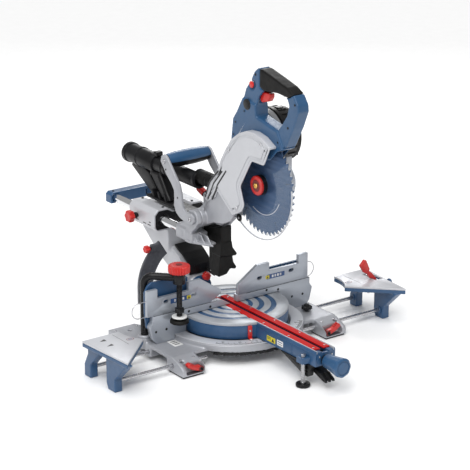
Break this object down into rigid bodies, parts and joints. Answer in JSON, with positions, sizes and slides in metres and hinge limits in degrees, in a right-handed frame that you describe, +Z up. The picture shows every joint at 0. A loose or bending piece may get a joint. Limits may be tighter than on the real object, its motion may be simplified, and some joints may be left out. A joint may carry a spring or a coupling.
{
  "type": "sliding mitre saw",
  "caption": "Sliding compound mitre saw with a turntable, bevel arm, twin slide rails, clear blade guard, split fences, side supports and a work clamp.",
  "frame": {"origin": "centre of the four bench bolt holes on the ground plane, straight under the turntable pivot; the fence faces lie in Y = 0 and the upright blade in X = 0", "axes": "+X to the operator's right, +Y to the rear, +Z up"},
  "size_m": [0.7408, 0.7885, 0.622],
  "materials": {
    "silver_cast": "satin",
    "black_rubber": "matte",
    "black_steel": "satin",
    "zinc_steel": "satin",
    "red_plastic": "satin",
    "black_plastic": "satin",
    "machined_aluminium": "brushed",
    "blue_paint": "semi-gloss",
    "blue_plastic": "semi-gloss",
    "brass": "satin",
    "chrome": "polished",
    "silver_cover": "satin",
    "saw_steel": "satin",
    "clear_guard": "clear"
  },
  "bodies": {
    "base": {"base_casting": "silver_cast", "rubber_feet": "black_rubber", "detent_ring": "black_steel", "fixed_fences": "silver_cast", "fence_screws": "zinc_steel"},
    "left_lock": {"lock_lever_left": "red_plastic"},
    "right_lock": {"lock_lever_right": "red_plastic"},
    "adjuster": {"adjuster_knob": "black_plastic"},
    "left_fence_slide": {"left_fence": "machined_aluminium", "left_fence_carrier": "blue_paint", "left_fence_wire": "zinc_steel"},
    "right_fence_slide": {"right_fence": "machined_aluminium", "right_fence_carrier": "blue_paint", "right_fence_wire": "zinc_steel"},
    "left_support": {"left_support_table": "silver_cast", "left_support_frame": "blue_paint", "left_support_rods": "zinc_steel"},
    "right_support": {"right_support_table": "silver_cast", "right_support_frame": "blue_paint", "right_support_rods": "zinc_steel"},
    "stop": {"length_stop": "red_plastic"},
    "clamp_arm": {"clamp_tube": "black_steel"},
    "clamp_screw": {"clamp_spindle": "black_steel", "clamp_pad": "black_rubber", "clamp_knob": "red_plastic"},
    "turntable": {"turntable_plate": "machined_aluminium", "turntable_body": "blue_paint", "kerf_inserts": "red_plastic", "mitre_pointer": "red_plastic", "pivot_bolts": "zinc_steel", "foot_bracket": "black_steel", "bevel_sector": "silver_cast"},
    "paddle": {"detent_lever": "red_plastic"},
    "mitre_lock": {"mitre_lock_knob": "blue_plastic"},
    "foot": {"front_foot": "black_rubber"},
    "bevel_stop": {"bevel_stop_knob": "red_plastic"},
    "tilt": {"bevel_neck": "silver_cast", "rail_bushings": "brass"},
    "slide_lock": {"slide_lock_knob": "red_plastic"},
    "carriage": {"slide_rails": "chrome", "rear_bridge": "blue_paint", "front_bracket": "silver_cast", "head_pivot_pin": "zinc_steel", "dust_skirt": "black_rubber", "carry_handle": "blue_plastic", "carry_arms": "zinc_steel", "dust_port": "black_plastic"},
    "pin": {"transport_pin": "red_plastic"},
    "head": {"head_casting": "silver_cast", "side_cover": "silver_cover", "blue_housing": "blue_plastic", "handle_grip": "black_rubber", "motor": "black_plastic"},
    "trigger_body": {"trigger": "red_plastic"},
    "lock_off": {"lock_off_button": "red_plastic"},
    "blade_body": {"blade": "saw_steel", "arbor": "zinc_steel", "hub_cap": "red_plastic"},
    "guard": {"blade_guard": "clear_guard"},
    "roller": {"guard_roller": "black_plastic"}
  },
  "joints": [
    {"name": "mitre", "type": "hinge", "parent": "base", "child": "turntable", "pos_m": [0, 0, 0.082], "axis": [0, 0, 1], "range_deg": [-47, 45]},
    {"name": "bevel", "type": "hinge", "parent": "turntable", "child": "tilt", "pos_m": [0, 0.15, 0.082], "axis": [0, 1, 0], "range_deg": [-37, 0]},
    {"name": "slide", "type": "slide", "parent": "tilt", "child": "carriage", "axis": [0, -1, 0], "range_m": [-0.047, 0.085]},
    {"name": "head_pivot", "type": "hinge", "parent": "carriage", "child": "head", "pos_m": [0, 0.07, 0.264], "axis": [1, 0, 0], "range_deg": [0, 56], "stiffness_Nm_per_rad": 12, "springref_deg": -57.3},
    {"name": "guard_swing", "type": "hinge", "parent": "head", "child": "guard", "pos_m": [0, -0.103, 0.375], "axis": [1, 0, 0], "range_deg": [-135, 0]},
    {"name": "blade_spin", "type": "hinge", "parent": "head", "child": "blade_body", "pos_m": [0, -0.103, 0.375], "axis": [1, 0, 0], "continuous": true},
    {"name": "roller_spin", "type": "hinge", "parent": "guard", "child": "roller", "pos_m": [-0.0143, -0.041, 0.289], "axis": [1, 0, 0], "continuous": true},
    {"name": "trigger_press", "type": "slide", "parent": "head", "child": "trigger_body", "axis": [0, 0, 1], "range_m": [0, 0.003], "stiffness_N_per_m": 900, "springref_m": -0.001},
    {"name": "lock_off_press", "type": "slide", "parent": "head", "child": "lock_off", "axis": [1, 0, 0], "range_m": [0, 0.003], "stiffness_N_per_m": 600, "springref_m": -0.001},
    {"name": "slide_lock_turn", "type": "hinge", "parent": "tilt", "child": "slide_lock", "pos_m": [-0.08, 0.268, 0.222], "axis": [1, 0, 0], "range_deg": [-180, 0]},
    {"name": "bevel_stop_turn", "type": "hinge", "parent": "turntable", "child": "bevel_stop", "pos_m": [-0.093, 0.1895, 0.1694], "axis": [1, 0, 0], "range_deg": [-180, 180]},
    {"name": "transport_pull", "type": "slide", "parent": "carriage", "child": "pin", "axis": [0, 0.9397, 0.3419], "range_m": [0, 0.008]},
    {"name": "mitre_lock_turn", "type": "hinge", "parent": "turntable", "child": "mitre_lock", "pos_m": [0, -0.36, 0.06], "axis": [0, 1, 0], "range_deg": [-90, 90]},
    {"name": "detent_squeeze", "type": "hinge", "parent": "turntable", "child": "paddle", "pos_m": [0, -0.266, 0.042], "axis": [-1, 0, 0], "range_deg": [0, 12], "stiffness_Nm_per_rad": 1, "springref_deg": -8.59},
    {"name": "foot_screw", "type": "slide", "parent": "turntable", "child": "foot", "axis": [0, 0, 1], "range_m": [0, 0.012]},
    {"name": "left_fence_move", "type": "slide", "parent": "base", "child": "left_fence_slide", "axis": [-1, 0, 0], "range_m": [-0.018, 0.06]},
    {"name": "right_fence_move", "type": "slide", "parent": "base", "child": "right_fence_slide", "axis": [1, 0, 0], "range_m": [0, 0.05]},
    {"name": "left_support_move", "type": "slide", "parent": "base", "child": "left_support", "axis": [-1, 0, 0], "range_m": [-0.055, 0.025]},
    {"name": "right_support_move", "type": "slide", "parent": "base", "child": "right_support", "axis": [1, 0, 0], "range_m": [-0.055, 0.025]},
    {"name": "stop_flip", "type": "hinge", "parent": "right_support", "child": "stop", "pos_m": [0.348, -0.052, 0.077], "axis": [0, 1, 0], "range_deg": [0, 40]},
    {"name": "left_lock_lift", "type": "hinge", "parent": "base", "child": "left_lock", "pos_m": [-0.166, -0.11, 0.013], "axis": [0, 1, 0], "range_deg": [0, 60]},
    {"name": "right_lock_lift", "type": "hinge", "parent": "base", "child": "right_lock", "pos_m": [0.166, -0.11, 0.013], "axis": [0, -1, 0], "range_deg": [0, 60]},
    {"name": "adjuster_turn", "type": "hinge", "parent": "base", "child": "adjuster", "pos_m": [0.174, -0.031, 0.04], "axis": [0, 0, 1], "range_deg": [-90, 90]},
    {"name": "clamp_swing", "type": "hinge", "parent": "base", "child": "clamp_arm", "pos_m": [-0.206, 0.032, 0.1], "axis": [0, 0, 1], "range_deg": [-40, 0]},
    {"name": "clamp_feed", "type": "slide", "parent": "clamp_arm", "child": "clamp_screw", "axis": [0, 0, -1], "range_m": [-0.02, 0.001]}
  ],
  "couplings": [
    {"joint": "guard_swing", "follows": "head_pivot", "ratio": -2.41}
  ]
}
